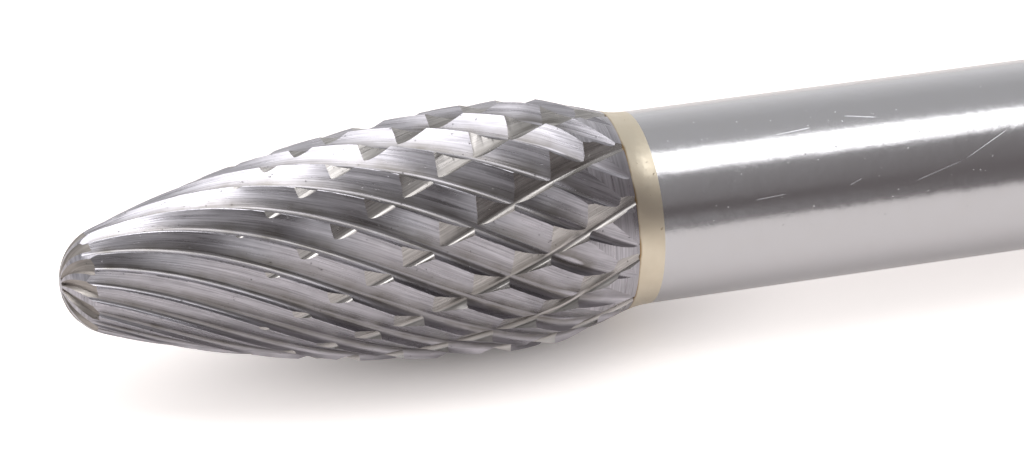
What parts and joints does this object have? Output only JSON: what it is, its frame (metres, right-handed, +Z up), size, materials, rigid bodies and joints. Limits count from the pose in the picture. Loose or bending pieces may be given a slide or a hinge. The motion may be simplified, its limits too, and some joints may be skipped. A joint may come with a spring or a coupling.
{
  "type": "carbide burr",
  "caption": "Flame-shaped tungsten carbide rotary burr with double-cut teeth, brazed to a plain round steel shank for a die grinder or drill collet",
  "frame": {"origin": "middle of the footprint, on the ground the burr lies on", "axes": "+X runs from the nose of the head towards the free end of the shank, along the ground; +Z is up"},
  "size_m": [0.063, 0.0076, 0.0077],
  "materials": {
    "carbide": "ground tungsten carbide, fine grinding lines along every cut",
    "braze": "pale gold silver braze, ground flush, a few tiny pits",
    "steel": "ground and polished tool steel with light scratches"
  },
  "bodies": {
    "root": {"carbide_head": "carbide", "braze_joint": "braze", "shank": "steel"}
  },
  "joints": []
}
